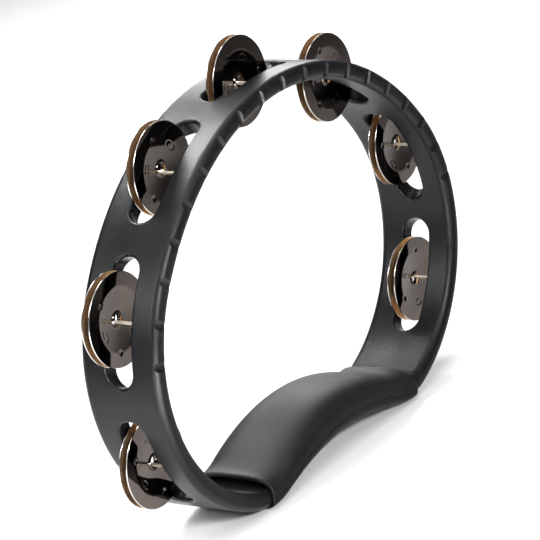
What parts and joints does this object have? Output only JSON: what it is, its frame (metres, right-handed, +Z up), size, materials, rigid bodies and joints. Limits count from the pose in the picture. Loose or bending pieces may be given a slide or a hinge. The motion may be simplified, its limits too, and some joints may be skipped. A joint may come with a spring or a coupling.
{
  "type": "tambourine",
  "caption": "Hand-held D-shaped moulded tambourine: a wide hollow ring with a row of slotted steel jingle pairs, a grooved front rim and a thick bowed grip.",
  "frame": {"origin": "under the middle of the grip, halfway between the two rims, on the surface that the two lower corners stand on", "axes": "+X to the right across the ring, +Y from the grooved front rim to the back rim along every jingle pin, +Z up from the grip to the top of the ring"},
  "size_m": [0.2767, 0.045, 0.2046],
  "materials": {
    "moulded_frame": "black moulded ABS with a fine satin grain",
    "grip_cover": "smooth black satin plastic",
    "jingle_steel": "black-nickel plated steel, polished",
    "pin_steel": "bright drawn steel wire"
  },
  "bodies": {
    "frame": {"frame_front_shell": "moulded_frame", "frame_back_shell": "moulded_frame", "grip_upper_cover": "grip_cover", "grip_lower_cover": "grip_cover"},
    "pin_1": {"jingle_pin_1": "pin_steel"},
    "front_jingle_1": {"jingle_1_front": "jingle_steel"},
    "back_jingle_1": {"jingle_1_back": "jingle_steel"},
    "pin_2": {"jingle_pin_2": "pin_steel"},
    "front_jingle_2": {"jingle_2_front": "jingle_steel"},
    "back_jingle_2": {"jingle_2_back": "jingle_steel"},
    "pin_3": {"jingle_pin_3": "pin_steel"},
    "front_jingle_3": {"jingle_3_front": "jingle_steel"},
    "back_jingle_3": {"jingle_3_back": "jingle_steel"},
    "pin_4": {"jingle_pin_4": "pin_steel"},
    "front_jingle_4": {"jingle_4_front": "jingle_steel"},
    "back_jingle_4": {"jingle_4_back": "jingle_steel"},
    "pin_5": {"jingle_pin_5": "pin_steel"},
    "front_jingle_5": {"jingle_5_front": "jingle_steel"},
    "back_jingle_5": {"jingle_5_back": "jingle_steel"},
    "pin_6": {"jingle_pin_6": "pin_steel"},
    "front_jingle_6": {"jingle_6_front": "jingle_steel"},
    "back_jingle_6": {"jingle_6_back": "jingle_steel"},
    "pin_7": {"jingle_pin_7": "pin_steel"},
    "front_jingle_7": {"jingle_7_front": "jingle_steel"},
    "back_jingle_7": {"jingle_7_back": "jingle_steel"}
  },
  "joints": [
    {"name": "pin_1_spin", "type": "hinge", "parent": "frame", "child": "pin_1", "pos_m": [-0.11332, 0, 0.04331], "axis": [0, 1, 0], "continuous": true},
    {"name": "front_jingle_1_slide", "type": "slide", "parent": "pin_1", "child": "front_jingle_1", "axis": [0, -1, 0], "range_m": [0, 0.0083]},
    {"name": "back_jingle_1_slide", "type": "slide", "parent": "pin_1", "child": "back_jingle_1", "axis": [0, 1, 0], "range_m": [0, 0.0007]},
    {"name": "pin_2_spin", "type": "hinge", "parent": "frame", "child": "pin_2", "pos_m": [-0.11644, 0, 0.11226], "axis": [0, 1, 0], "continuous": true},
    {"name": "front_jingle_2_slide", "type": "slide", "parent": "pin_2", "child": "front_jingle_2", "axis": [0, -1, 0], "range_m": [0, 0.0083]},
    {"name": "back_jingle_2_slide", "type": "slide", "parent": "pin_2", "child": "back_jingle_2", "axis": [0, 1, 0], "range_m": [0, 0.0007]},
    {"name": "pin_3_spin", "type": "hinge", "parent": "frame", "child": "pin_3", "pos_m": [-0.0681, 0, 0.16356], "axis": [0, 1, 0], "continuous": true},
    {"name": "front_jingle_3_slide", "type": "slide", "parent": "pin_3", "child": "front_jingle_3", "axis": [0, -1, 0], "range_m": [0, 0.0083]},
    {"name": "back_jingle_3_slide", "type": "slide", "parent": "pin_3", "child": "back_jingle_3", "axis": [0, 1, 0], "range_m": [0, 0.0007]},
    {"name": "pin_4_spin", "type": "hinge", "parent": "frame", "child": "pin_4", "pos_m": [0, 0, 0.18232], "axis": [0, 1, 0], "continuous": true},
    {"name": "front_jingle_4_slide", "type": "slide", "parent": "pin_4", "child": "front_jingle_4", "axis": [0, -1, 0], "range_m": [0, 0.0083]},
    {"name": "back_jingle_4_slide", "type": "slide", "parent": "pin_4", "child": "back_jingle_4", "axis": [0, 1, 0], "range_m": [0, 0.0007]},
    {"name": "pin_5_spin", "type": "hinge", "parent": "frame", "child": "pin_5", "pos_m": [0.0681, 0, 0.16356], "axis": [0, 1, 0], "continuous": true},
    {"name": "front_jingle_5_slide", "type": "slide", "parent": "pin_5", "child": "front_jingle_5", "axis": [0, -1, 0], "range_m": [0, 0.0083]},
    {"name": "back_jingle_5_slide", "type": "slide", "parent": "pin_5", "child": "back_jingle_5", "axis": [0, 1, 0], "range_m": [0, 0.0007]},
    {"name": "pin_6_spin", "type": "hinge", "parent": "frame", "child": "pin_6", "pos_m": [0.11644, 0, 0.11226], "axis": [0, 1, 0], "continuous": true},
    {"name": "front_jingle_6_slide", "type": "slide", "parent": "pin_6", "child": "front_jingle_6", "axis": [0, -1, 0], "range_m": [0, 0.0083]},
    {"name": "back_jingle_6_slide", "type": "slide", "parent": "pin_6", "child": "back_jingle_6", "axis": [0, 1, 0], "range_m": [0, 0.0007]},
    {"name": "pin_7_spin", "type": "hinge", "parent": "frame", "child": "pin_7", "pos_m": [0.11332, 0, 0.04331], "axis": [0, 1, 0], "continuous": true},
    {"name": "front_jingle_7_slide", "type": "slide", "parent": "pin_7", "child": "front_jingle_7", "axis": [0, -1, 0], "range_m": [0, 0.0083]},
    {"name": "back_jingle_7_slide", "type": "slide", "parent": "pin_7", "child": "back_jingle_7", "axis": [0, 1, 0], "range_m": [0, 0.0007]}
  ]
}
